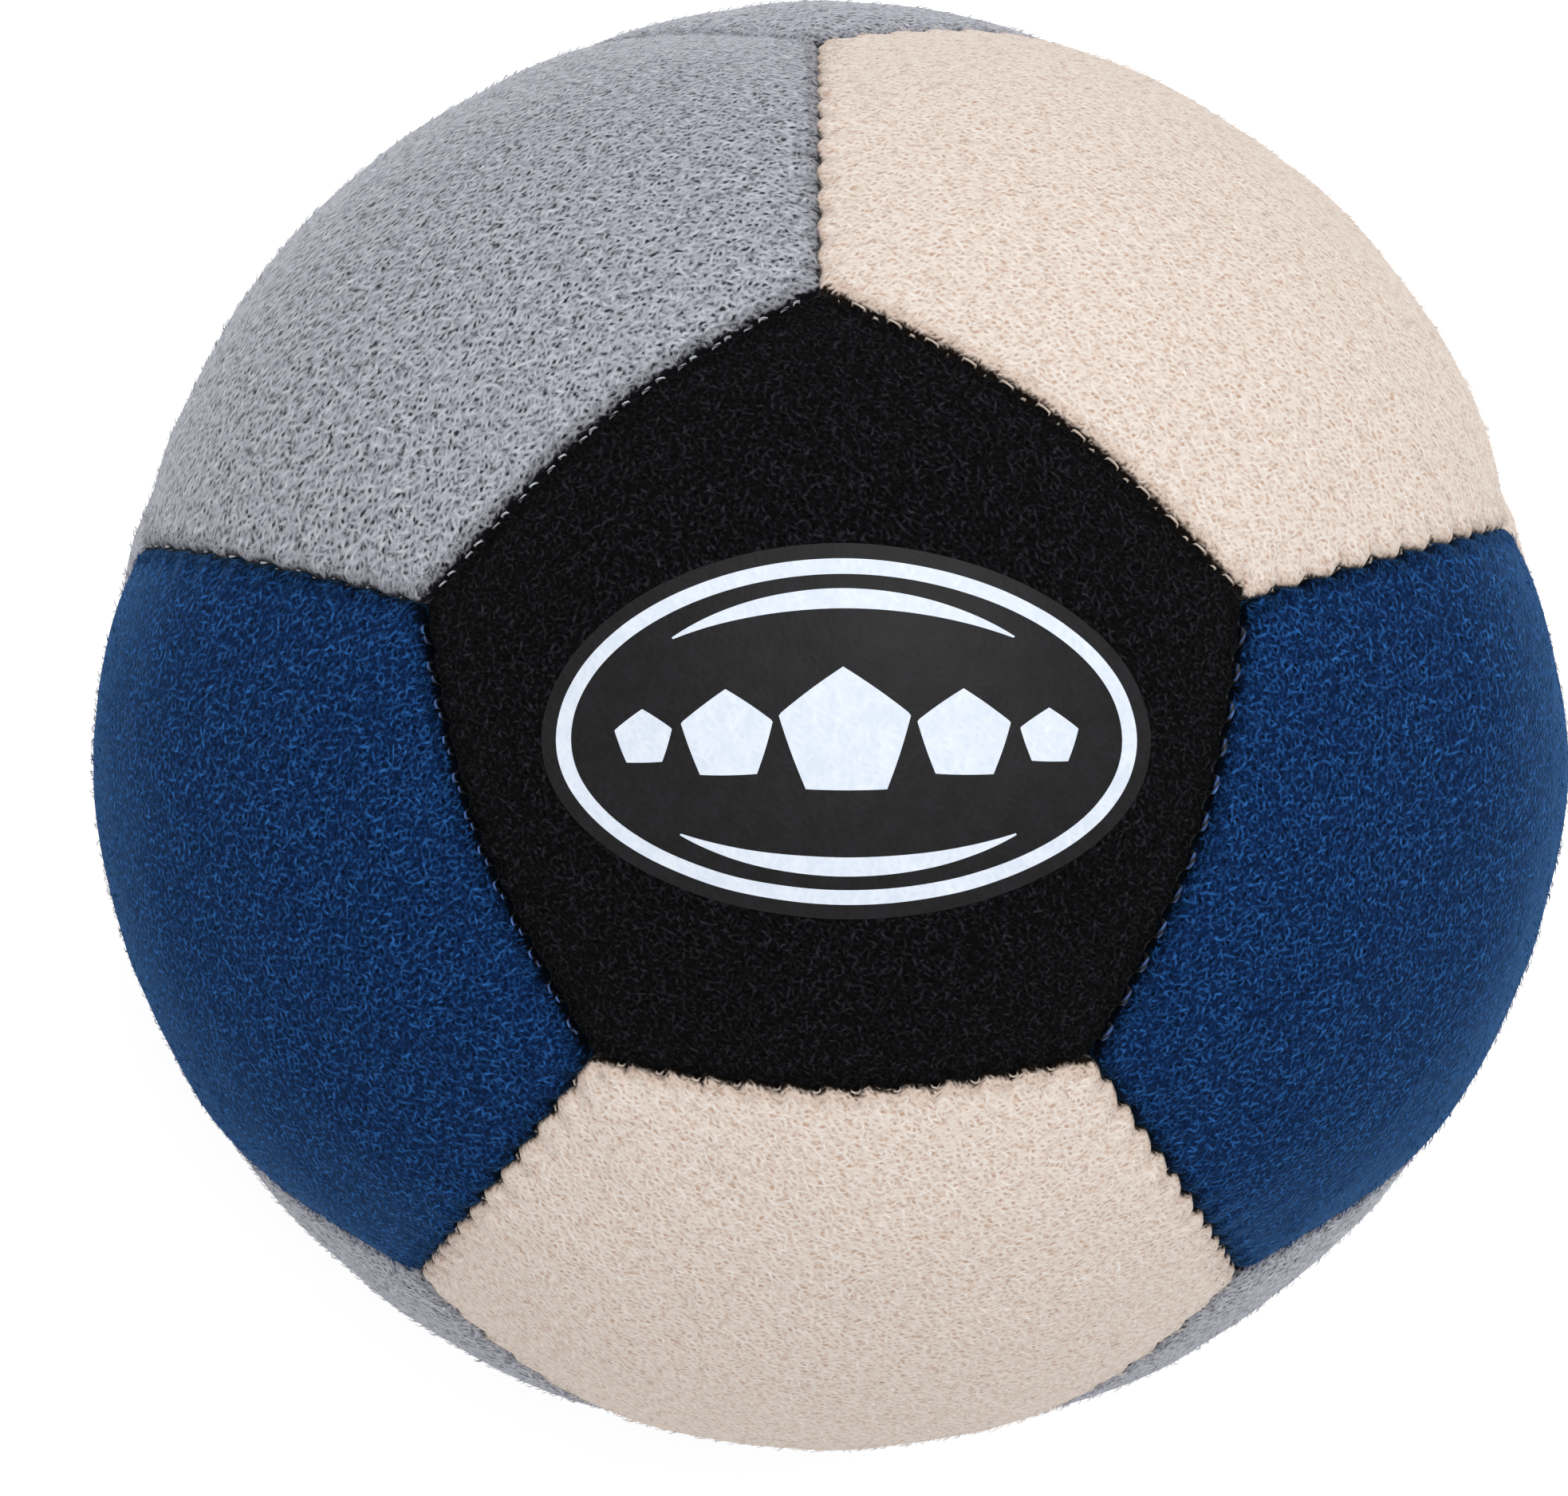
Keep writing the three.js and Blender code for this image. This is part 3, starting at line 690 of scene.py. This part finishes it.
def loose_fibres(panel, dice):
    """Curled fibres as closed three-sided spikes, each a root, a bow and a pale tip."""
    area = 4 * math.pi * SEAM_RADIUS ** 2 / len(panels)
    on_skin = int(area * FIBRES_PER_MM2)
    on_lip = int(5 * 2 * EDGE_HALF_ARC * SEAM_RADIUS * FIBRES_PER_LIP_MM[panel.suede])
    number = on_skin + on_lip
    azimuth = dice.choice(ROUND, number)
    azimuth = azimuth + dice.uniform(-0.5, 0.5, number) * TURN / len(ROUND)
    lip_angle = around(panel.lip_angle, azimuth)
    is_fringe = np.arange(number) >= on_skin
    fringe_angle = lip_angle - dice.uniform(*LIP_FRINGE, number) / SEAM_RADIUS
    skin_angle = lip_angle * np.sqrt(dice.uniform(0, 1, number))
    angle = np.where(is_fringe, fringe_angle, skin_angle)
    keep = np.ones(number, bool)
    if panel is REST:
        keep = angle > REST_ANGLE * REST_CLEARANCE
    if panel is BADGE:
        place = panel.towards(angle, azimuth)[:, :2] * SEAM_RADIUS - BADGE_PLACE
        keep = np.linalg.norm(place / (np.array(BADGE_HALF) + FIBRE_LENGTHS[0]), axis=1) > 1
    azimuth, angle, lip_angle, is_fringe = (values[keep] for values in (azimuth, angle, lip_angle, is_fringe))
    number = len(azimuth)

    outward = panel.towards(angle + math.pi / 2, azimuth)
    around_it = panel.towards(math.pi / 2, azimuth + math.pi / 2)
    fringe_heading = dice.normal(0, FIBRE_STRAY, number)
    skin_heading = panel.comb - azimuth + dice.normal(0, FIBRE_STRAY, number)
    heading = np.where(is_fringe, fringe_heading, skin_heading)
    ahead = np.cos(heading)[:, None] * outward + np.sin(heading)[:, None] * around_it
    aside = np.cos(heading)[:, None] * around_it - np.sin(heading)[:, None] * outward
    length = dice.uniform(*FIBRE_LENGTHS, number)[:, None]
    height = length * dice.uniform(*FIBRE_HEIGHTS, number)[:, None]
    curl = dice.normal(0, FIBRE_CURL, number)[:, None]
    from_lip = np.clip(lip_angle - angle, 0, None) * SEAM_RADIUS
    drawn = around(panel.draw, azimuth) * np.exp(-(from_lip / LIP_DRAW_REACH) ** 2) / SEAM_RADIUS
    over_edge = np.clip(angle - lip_angle, 0, None) * SEAM_RADIUS
    sunk = FIBRE_WIDTH + over_edge ** 2 / (2 * LIP_RADIUS)
    base = skin_points(panel, angle, azimuth, 0)
    up = unit(base)
    root = panel.towards(angle - drawn, azimuth) * (np.linalg.norm(base, axis=1) - sunk)[:, None]

    def place(share):
        rise = height * math.sin(FIBRE_BOW * share) + FIBRE_WIDTH * share
        return root + up * rise + length * (ahead * share + aside * curl * share ** 2)

    # A fibre takes the slit's painted shade at its root, and none by its tip
    depth_at_root = over_edge ** 2 / (2 * LIP_RADIUS) - from_lip
    points, depths, loose = [], [], []
    for share in (*FIBRE_RINGS, 1.0):
        half = FIBRE_WIDTH / 2 * (1 - FIBRE_TAPER * share)
        for corner in range(3 if share < 1 else 1):
            turn = TURN * corner / 3
            out = half * (math.cos(turn) * aside + math.sin(turn) * up) if share < 1 else 0
            points.append(place(share) + out)
            depths.append(depth_at_root * (1 - share) - FIBRE_SHADE * share)
            loose.append(np.full(number, FIBRE_PALENESS * share))
    per_fibre = len(points)
    combs = np.repeat(combed(panel, angle * SEAM_RADIUS, azimuth), per_fibre, axis=0)
    spike = lathe_faces(len(FIBRE_RINGS), 3, 0, per_fibre - 1)[:-6] + [(2, 1, 0)]
    spike += [(6 + (i + 1) % 3, 6 + i, per_fibre - 1) for i in range(3)]
    starts = np.arange(number) * per_fibre
    faces = [tuple(start + corner for corner in face) for start in starts.tolist() for face in spike]
    facts = (np.stack(values, axis=1).ravel() for values in (depths, loose))
    return np.stack(points, axis=1).reshape(-1, 3), faces, combs, *facts


def build_panel(panel):
    """A panel's shell and its loose fibres, as one piece."""
    points, faces, combs, depths = panel_shell(panel)
    loose = np.zeros(len(points))
    fibres = loose_fibres(panel, np.random.default_rng(panels.index(panel)))
    faces += [tuple(len(points) + corner for corner in face) for face in fibres[1]]
    shell = (points, combs, depths, loose)
    points, combs, depths, loose = (np.concatenate(pair) for pair in zip(shell, (fibres[0], *fibres[2:])))
    piece = make_piece(f"suede_{panel.name}", points, faces, suedes[panel.suede],
                       combs, depths, loose)
    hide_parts(panel.node)


# Badge: a heat-pressed oval film with a printed outline, arcs and a row of pentagons, like the panels

BADGE = panels[0]
BADGE_PLACE = (0.36, -0.55)
BADGE_HALF = (12.0, 7.5)
FILM_LIFTS = (0.0, 0.06)
PRINT_LIFTS = (0.06, 0.085)
OUTLINE_INSET = (0.6, 0.8, 1.0, 1.2)
ARC_INSET = 2.15
ARC_WIDTH = 0.7
ARC_TIP_WIDTH = 0.08
ARC_HALF_TURN = math.radians(42)
FILM_PLACES = 65
OUTLINE_PLACES = 288
ARC_PLACES = 61
PENTAGON_PLACES = 25
CORNER_SOFTNESS = 0.9
SHARP_EDGE = math.radians(40)

# How far right of the middle each pentagon lies, and its radius
PENTAGONS = ((0.0, 2.7), (-4.6, 1.9), (4.6, 1.9), (-7.9, 1.2), (7.9, 1.2))


def disc_grid(count):
    """A square grid of places bent to fill a disc of radius 1."""
    side = np.linspace(-1, 1, count)
    u, v = np.meshgrid(side, side)
    return np.stack([u * np.sqrt(1 - v * v / 2), v * np.sqrt(1 - u * u / 2)], axis=-1)


def oval_places(inset, turn):
    """Places on an oval this far inside the film's edge."""
    half_across, half_up = BADGE_HALF
    return np.stack([(half_across - inset) * np.cos(turn), (half_up - inset) * np.sin(turn)], axis=-1)


def outline_grid():
    """An even line round the film."""
    turn = np.linspace(0, TURN, OUTLINE_PLACES, endpoint=False)
    return np.stack([oval_places(inset, turn) for inset in OUTLINE_INSET])


def arc_grid(middle):
    """A bar that follows the outline and tapers to both ends."""
    turn = np.linspace(-1, 1, ARC_PLACES)
    width = ARC_WIDTH * (1 - turn ** 2) + ARC_TIP_WIDTH
    return np.stack([oval_places(ARC_INSET - width * share, middle + turn * ARC_HALF_TURN)
                     for share in (-0.5, 0.0, 0.5)])


def pentagon_grid(across, radius):
    """A pentagon with a point up and slightly rounded corners."""
    places = disc_grid(PENTAGON_PLACES)
    turn = (np.arctan2(places[..., 0], places[..., 1]) + SIDE_TURN / 2) % SIDE_TURN - SIDE_TURN / 2
    from_side = SIDE_TURN / 2 - np.abs(turn)
    reach = (math.cos(SIDE_TURN / 2) / np.cos(from_side)) ** CORNER_SOFTNESS
    return places * (reach * radius)[..., None] + (across, 0.0)


def pressed_faces(rows, columns, wraps, start):
    """Faces of a thin closed solid over a grid of places: its top, its underside and its edges."""
    def corner(row, column, under):
        return start + (under * rows + row) * columns + column % columns

    spans = columns if wraps else columns - 1
    faces = []
    for under in (0, 1):
        faces += [[corner(row, column, under), corner(row, column + 1, under),
                   corner(row + 1, column + 1, under), corner(row + 1, column, under)]
                  for row in range(rows - 1) for column in range(spans)]
    for row in (0, rows - 1):
        faces += [[corner(row, column, 0), corner(row, column, 1), corner(row, column + 1, 1),
                   corner(row, column + 1, 0)] for column in range(spans)]
    for column in () if wraps else (0, columns - 1):
        faces += [[corner(row, column, 0), corner(row, column, 1), corner(row + 1, column, 1),
                   corner(row + 1, column, 0)] for row in range(rows - 1)]
    return faces


def pressed_piece(name, grids, lifts, material):
    """Thin shapes pressed on the badge panel, from grids of places right and up of its middle."""
    points, faces, combs = [], [], []
    for grid, wraps in grids:
        places = grid + BADGE_PLACE
        reach = np.linalg.norm(places, axis=-1)
        angle = np.arcsin(reach / (SEAM_RADIUS + CROWN_RISE))
        azimuth = np.arctan2(places @ BADGE.along[:2], places @ BADGE.across[:2])
        faces += pressed_faces(*grid.shape[:2], wraps, sum(map(len, points)))
        for lift in reversed(lifts):
            points.append(skin_points(BADGE, angle, azimuth, lift).reshape(-1, 3))
            combs.append(combed(BADGE, reach, azimuth).reshape(-1, 3))
    piece = make_piece(name, np.concatenate(points), faces, material, np.concatenate(combs))
    piece.data.set_sharp_from_angle(angle=SHARP_EDGE)


def badge_material(name, colour, worn, rough, shine):
    """A heat-pressed polyurethane film: smooth and satin, with the nap under it faintly showing through."""
    material, tree = new_material(f"pressed_{name}")
    place = attribute(tree, "comb_mm", "Vector")
    nap = crossing_strands(tree, place, 2.0, 1.0, 1.0, 1.0)
    cloud = add(tree, "TexNoise", {"Vector": place, "Scale": 1.1, "Detail": 2.0}, noise_dimensions="2D")
    blotch = ranged(tree, calc(tree, "MULTIPLY_ADD", cloud, 0.8, nap), 0.75, 1.35)
    surface(tree, nap, 0.5, 0.03, {
        "Base Color": mixed(tree, blotch, linear(worn), linear(colour)),
        "Roughness": ranged(tree, nap, 0.0, 1.0, rough - 0.08, rough + 0.08),
        "IOR": 1.5, "Specular IOR Level": shine})
    return material


# Stitches

# Colour of each thread and the painted shade in the grooves between its fibres
THREADS = {
    "blue": ("4b73b8", "1b3566"),
    "gray": ("c8cbd3", "7d8088"),
    "cream": ("d2c1b3", "8f8175"),
}
# Painted shade that a thread takes deep in the slit and in the waists between its plies
PAINTED_THREAD_SHADE = "0a0909"
THREAD_SEAT = 0.5
THREAD_STEPS = 16
THREAD_SIDES = 10
THREAD_TAPER = 0.3
TWIST_LENGTH = 1.1
PLY_WAIST = 0.30
WAIST_SHADE = 0.14

# In shares of its half length, a stitch is high up to the first and deep from the second of these, and its
# route beside the slit fades over the wider stretch. No two stitches lie quite alike.
STITCH_RISE = (0.85, 1.2)
STITCH_REACH = (1.3, 2.2)
PLACE_JITTER = (-0.04, 0.04)
DEPTH_JITTER = (-0.03, 0.02)


def thread_material(name, colour, groove_shade):
    """Spun polyester sewing thread: fine fibres along the plies, with a slight gloss."""
    material, tree = new_material(f"polyester_thread_{name}")
    place = attribute(tree, "comb_mm", "Vector")
    stretch = add(tree, "Mapping", {"Vector": place, "Scale": (3.0, 16.0, 1.0)})
    streaks = add(tree, "TexNoise", {"Vector": stretch, "Scale": 1.0, "Detail": 2.0})
    # Streaks mix the painted groove shade into the thread's own colour
    tint = mixed(tree, ranged(tree, streaks, 0.3, 0.6), linear(groove_shade), linear(colour))
    # Deep in the slit, and at the waists between the plies, the thread is painted into shade
    deep = ranged(tree, attribute(tree, "depth_mm"), 0.12, 0.22)
    surface(tree, streaks, 0.6, 0.02, {
        "Base Color": mixed(tree, deep, tint, linear(PAINTED_THREAD_SHADE)), "Roughness": 0.5, "IOR": 1.57,
        "Specular IOR Level": 0.3, "Sheen Weight": 0.05})
    return material


def thread_colour(first, second):
    """Cream thread beside cream suede, and else gray beside gray and blue beside blue."""
    pair = (first.suede, second.suede)
    return next(colour for colour in ("cream", "gray", "blue") if colour in pair)


def stitch_path(look, count, dice):
    """How deep the thread lies under the lips, and how far towards the second panel. Each stitch comes up
    through a lip beside the slit and goes down through it again."""
    depth = np.full_like(count, THREAD_SEAT)
    offset = np.zeros_like(count)
    for number in range(STITCHES_PER_SEAM):
        for place, length, shown_depth, side, slant in SEAMS[look]["shows"]:
            middle = number + place + dice.uniform(*PLACE_JITTER)
            along = (count - middle) * STITCH_PITCH / (length / 2)
            rise = 1 - smoothstep(np.abs(along), *STITCH_RISE)
            reach = 1 - smoothstep(np.abs(along), *STITCH_REACH)
            depth -= rise * (THREAD_SEAT - shown_depth + dice.uniform(*DEPTH_JITTER))
            offset += reach * (side + slant * np.clip(along, -1, 1))
    return depth, offset


def build_stitches(panel, other):
    """One seam's thread of two twisted plies. It seats deep in the slit and rises in each stitch."""
    first, second = seam_order(panel, other)
    look = seam_look(first, second)
    radius = SEAMS[look]["thread"] / 2
    side = next(side for side, neighbour in first.side_neighbour.items() if neighbour is second)
    azimuth = side * SIDE_TURN
    middle = unit(first.middle + second.middle)
    along = first.along * math.cos(azimuth) - first.across * math.sin(azimuth)
    over = unit(second.middle - first.middle)
    count = np.linspace(0, STITCHES_PER_SEAM, STITCHES_PER_SEAM * THREAD_STEPS + 1)
    run = count * STITCH_PITCH
    arc = (run - run[-1] / 2) / SEAM_RADIUS
    towards = np.cos(arc)[:, None] * middle + np.sin(arc)[:, None] * along
    places = azimuth + np.arctan(np.tan(arc) / math.sin(MIDSIDE_ANGLE))
    top = around(first.lip_radius, places) - seam_pucker(look, count)
    dice = np.random.default_rng(100 + 12 * panels.index(first) + panels.index(second))
    depth, offset = stitch_path(look, count, dice)
    centre = towards * (top - depth)[:, None] + over * (offset + seam_wave(look, count))[:, None]

    ahead = unit(np.gradient(centre, axis=0))
    aside = unit(over - (ahead @ over)[:, None] * ahead)
    up = np.cross(ahead, aside)
    taper = smoothstep(np.minimum(count, count[-1] - count), 0, THREAD_TAPER)
    twist = TURN * run / TWIST_LENGTH
    points, combs, depths = [], [], []
    for corner in range(THREAD_SIDES):
        turn = TURN * corner / THREAD_SIDES
        waist = 1 - np.abs(np.cos(turn - twist))
        ply = radius * taper * (1 - PLY_WAIST * waist)
        points.append(centre + ply[:, None] * (math.cos(turn) * aside + math.sin(turn) * up))
        combs.append(np.stack([run, np.full_like(run, turn * radius), np.full_like(run, side)], axis=-1))
        # The waist between the plies is given painted shade as if it lay deeper
        depths.append(depth + WAIST_SHADE * waist)
    rings = len(run)
    points = np.concatenate([np.stack(points, axis=1).reshape(-1, 3), centre[:1], centre[-1:]])
    combs = np.concatenate([np.stack(combs, axis=1).reshape(-1, 3), combs[0][:1], combs[0][-1:]])
    depths = np.concatenate([np.stack(depths, axis=1).ravel(), depth[:1], depth[-1:]])
    faces = lathe_faces(rings, THREAD_SIDES, rings * THREAD_SIDES, rings * THREAD_SIDES + 1)
    colour = thread_colour(first, second)
    seam = f"{panel.name}_to_{other.name}"
    piece = make_piece(f"stitches_{seam}", points, faces, threads[colour],
                       combs, depths)
    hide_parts(f"thread_{seam}")


# Pellets

PELLET_SPACING = 3.2
PELLET_RADIUS = 1.5
PELLET_HALF_HEIGHT = 1.1
PELLET_WIDTH_SHARE = 0.85
PELLET_SIZES = (0.88, 1.0)
PELLET_DOME = 1.08
PELLET_SIDES = 8

# Each ring of a pellet: its share of the width and of the half height
PELLET_PROFILE = ((0.70, 1.0), (1.0, 0.5), (1.0, -0.5), (0.70, -1.0))


def pellet_places():
    """Places for the pellets: close-packed layers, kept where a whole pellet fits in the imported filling."""
    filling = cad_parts["pellet_filling"]
    walls = BVHTree.FromObject(filling, bpy.context.evaluated_depsgraph_get())
    low, high = (np.array(corner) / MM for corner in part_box("pellet_filling"))
    half = PELLET_SPACING / math.sqrt(2)
    ticks = [np.arange(start, end, half) for start, end in zip(low, high)]
    lattice = np.stack(np.meshgrid(*ticks, indexing="ij"), axis=-1)
    parity = np.indices(lattice.shape[:3]).sum(0) % 2 == 0
    places = []
    for place in lattice[parity]:
        found, normal, _, distance = walls.find_nearest(Vector(place * MM))
        if (Vector(place * MM) - found).dot(normal) < 0 and distance > PELLET_RADIUS * MM:
            places.append(place)
    return np.array(places)


def pellet_material():
    """Polypropylene pellets, cut from a strand: milky, smooth and half glossy."""
    material, tree = new_material("polypropylene_pellets")
    place = attribute(tree, "comb_mm", "Vector")
    noise = add(tree, "TexNoise", {"Vector": place, "Scale": 1.5, "Detail": 2.0})
    surface(tree, noise, 0.3, 0.05, {
        "Base Color": mixed(tree, noise, linear("cfcdc4"), linear("f4f3ee")),
        "Roughness": ranged(tree, noise, 0.0, 1.0, 0.25, 0.5), "IOR": 1.49, "Subsurface Weight": 0.2,
        "Subsurface Scale": 1.0 * MM})
    return material


def build_pellets():
    """Some three thousand loose pellets, turned every way, that fill the bag."""
    dice = np.random.default_rng(7)
    places = pellet_places() - np.array([0, 0, REST_DEPTH])
    axis = unit(dice.normal(size=places.shape))
    aside = unit(np.cross(axis, dice.normal(size=places.shape)))
    beside = np.cross(axis, aside)
    size = dice.uniform(*PELLET_SIZES, (len(places), 1))
    points = []
    for share, height in PELLET_PROFILE:
        for corner in range(PELLET_SIDES):
            turn = TURN * corner / PELLET_SIDES
            out = math.cos(turn) * aside + math.sin(turn) * beside
            rim = out * PELLET_RADIUS * PELLET_WIDTH_SHARE * share
            points.append(places + size * (rim + axis * height * PELLET_HALF_HEIGHT))
    for height in (PELLET_DOME, -PELLET_DOME):
        points.append(places + size * axis * height * PELLET_HALF_HEIGHT)
    per_pellet = len(points)
    pellet = lathe_faces(len(PELLET_PROFILE), PELLET_SIDES, per_pellet - 2, per_pellet - 1)
    starts = (np.arange(len(places)) * per_pellet).tolist()
    faces = [tuple(start + corner for corner in face) for start in starts for face in pellet]
    points = np.stack(points, axis=1).reshape(-1, 3)
    piece = make_piece("pellets", points, faces, pellet_material(), points)
    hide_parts("pellet_filling")


threads = {name: thread_material(name, *colours) for name, colours in THREADS.items()}
for panel in panels:
    build_panel(panel)
    for other in panel.neighbours:
        if panels.index(other) > panels.index(panel):
            build_stitches(panel, other)
pressed_piece("badge_film", [(disc_grid(FILM_PLACES) * BADGE_HALF, False)], FILM_LIFTS,
              badge_material("film", "18161b", "0a090b", 0.5, 0.25))
printed = [(outline_grid(), True), (arc_grid(TURN / 4), False), (arc_grid(-TURN / 4), False)]
printed += [(pentagon_grid(*row), False) for row in PENTAGONS]
pressed_piece("badge_print", printed, PRINT_LIFTS, badge_material("print", "e9f0fa", "d8e2f0", 0.5, 0.4))
build_pellets()


# Camera, floor and light

# Seen from 1.6 m, a little to the left of the panel's middle and below it
VIEW_DISTANCE = 1600.0
FRAME_WIDTH = 61.93
VIEW_TILT = (math.radians(-0.53), math.radians(-0.31))
BALL_IN_FRAME = (1.72, 0.88)


def posed(side, over, ahead, place):
    """A matrix for an object that looks against "ahead" from a place in metres."""
    return Matrix([*zip(side, over, ahead, place), (0, 0, 0, 1)])


ahead = unit(np.array([math.tan(VIEW_TILT[0]), math.tan(VIEW_TILT[1]), 1.0]))
right = unit(np.cross([0, 1, 0], ahead))
up = np.cross(ahead, right)
centre = np.array([0, 0, REST_DEPTH])
eye = centre + ahead * VIEW_DISTANCE - right * BALL_IN_FRAME[0] - up * BALL_IN_FRAME[1]
camera_data = bpy.data.cameras.new("camera")
camera_data.lens = camera_data.sensor_width * VIEW_DISTANCE / FRAME_WIDTH
camera_data.clip_start = 0.01
camera_data.clip_end = 20
camera = new_object("camera", camera_data)
camera.matrix_world = posed(right, up, ahead, eye * MM)
bpy.context.scene.camera = camera

FLOOR_HALF = 4.0
FLOOR_DROP = 0.00005
FLOOR_GLOW = 0.5
LIGHT_LEVEL = 0.76


def white_card_material():
    """White card. Its own faint glow, which only the camera, glossy and transmission rays see, keeps it white
    and lets the bag's shadow show."""
    material, tree = new_material("white_card")
    rays = add(tree, "LightPath").outputs
    seen = calc(tree, "MAXIMUM", rays["Is Camera Ray"], rays["Is Glossy Ray"])
    seen = calc(tree, "MAXIMUM", seen, rays["Is Transmission Ray"])
    glow = calc(tree, "MULTIPLY", seen, FLOOR_GLOW)
    card = add(tree, "BsdfDiffuse", {"Color": linear("eeeeee")})
    glow = add(tree, "Emission", {"Color": linear("ffffff"), "Strength": glow})
    both = add(tree, "AddShader", {0: card, 1: glow})
    add(tree, "OutputMaterial", {"Surface": both})
    return material


corners = [(x * FLOOR_HALF, y * FLOOR_HALF, -FLOOR_DROP) for x, y in ((-1, -1), (1, -1), (1, 1), (-1, 1))]
floor_mesh = bpy.data.meshes.new("floor")
floor_mesh.from_pydata(corners, [], [(0, 1, 2, 3)])
floor_mesh.materials.append(white_card_material())
floor = new_object("floor", floor_mesh)

world = bpy.data.worlds.new("studio")
bpy.context.scene.world = world
world.use_nodes = True
world.node_tree.nodes.clear()
rays = add(world.node_tree, "LightPath")
level = add(world.node_tree, "Mix", {0: rays.outputs["Is Camera Ray"], 2: LIGHT_LEVEL, 3: 1.0},
            data_type="FLOAT")
sky = add(world.node_tree, "Background", {"Color": linear("ffffff"), "Strength": level})
add(world.node_tree, "OutputWorld", {"Surface": sky})


def soft_lamp(name, place, size, power):
    """A soft square lamp that faces the bag, at a place in metres."""
    data = bpy.data.lights.new(name, "AREA")
    data.size = size
    data.energy = power
    light = new_object(name, data)
    ahead = unit(np.array(place) - np.array([0, 0, REST_DEPTH * MM]))
    side = unit(np.cross([0, 1, 0], ahead))
    light.matrix_world = posed(side, np.cross(ahead, side), ahead, place)


soft_lamp("key", (0.22, 0.32, 0.93), 0.6, 3.9)

bpy.context.scene.view_settings.view_transform = "Standard"
